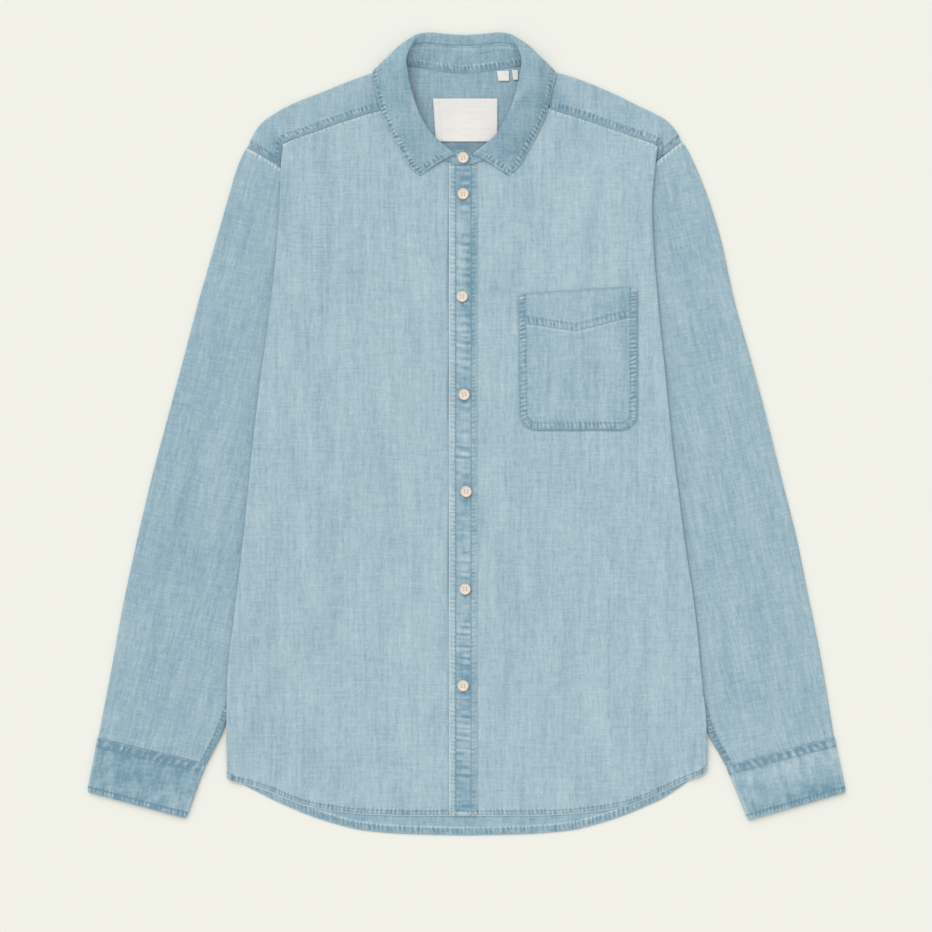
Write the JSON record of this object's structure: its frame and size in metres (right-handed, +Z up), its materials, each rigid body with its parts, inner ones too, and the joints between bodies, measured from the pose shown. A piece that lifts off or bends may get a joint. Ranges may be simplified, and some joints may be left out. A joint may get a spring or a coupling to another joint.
{
  "type": "chambray shirt",
  "caption": "Long-sleeved button-front chambray shirt laid flat on its back, with collar, chest pocket and cuffs.",
  "frame": {"origin": "middle of the footprint of the shirt as laid flat, on the surface it lies on", "axes": "+X to the viewer's right (the wearer's left), +Y from the hem towards the collar, +Z up from the surface, out of the buttoned front"},
  "size_m": [0.7566, 0.803, 0.0159],
  "materials": {
    "body_cloth": "washed light blue cotton chambray",
    "sleeve_cloth": "washed light blue cotton chambray",
    "cuff_cloth": "washed light blue cotton chambray, two layers",
    "collar_cloth": "washed light blue cotton chambray, two layers",
    "button": "cream, satin",
    "label": "white woven tape, bare"
  },
  "bodies": {
    "root": {"back_panel": "body_cloth", "yoke": "body_cloth", "front_right": "body_cloth", "front_left": "body_cloth", "placket": "body_cloth", "pocket": "body_cloth", "sleeve_right": "sleeve_cloth", "sleeve_left": "sleeve_cloth", "cuff_right": "cuff_cloth", "cuff_left": "cuff_cloth", "collar_stand": "collar_cloth", "collar_leaf": "collar_cloth", "button_1": "button", "button_2": "button", "button_3": "button", "button_4": "button", "button_5": "button", "button_6": "button", "button_collar": "button", "label_main": "label", "label_size": "label", "label_care": "label"}
  },
  "joints": []
}
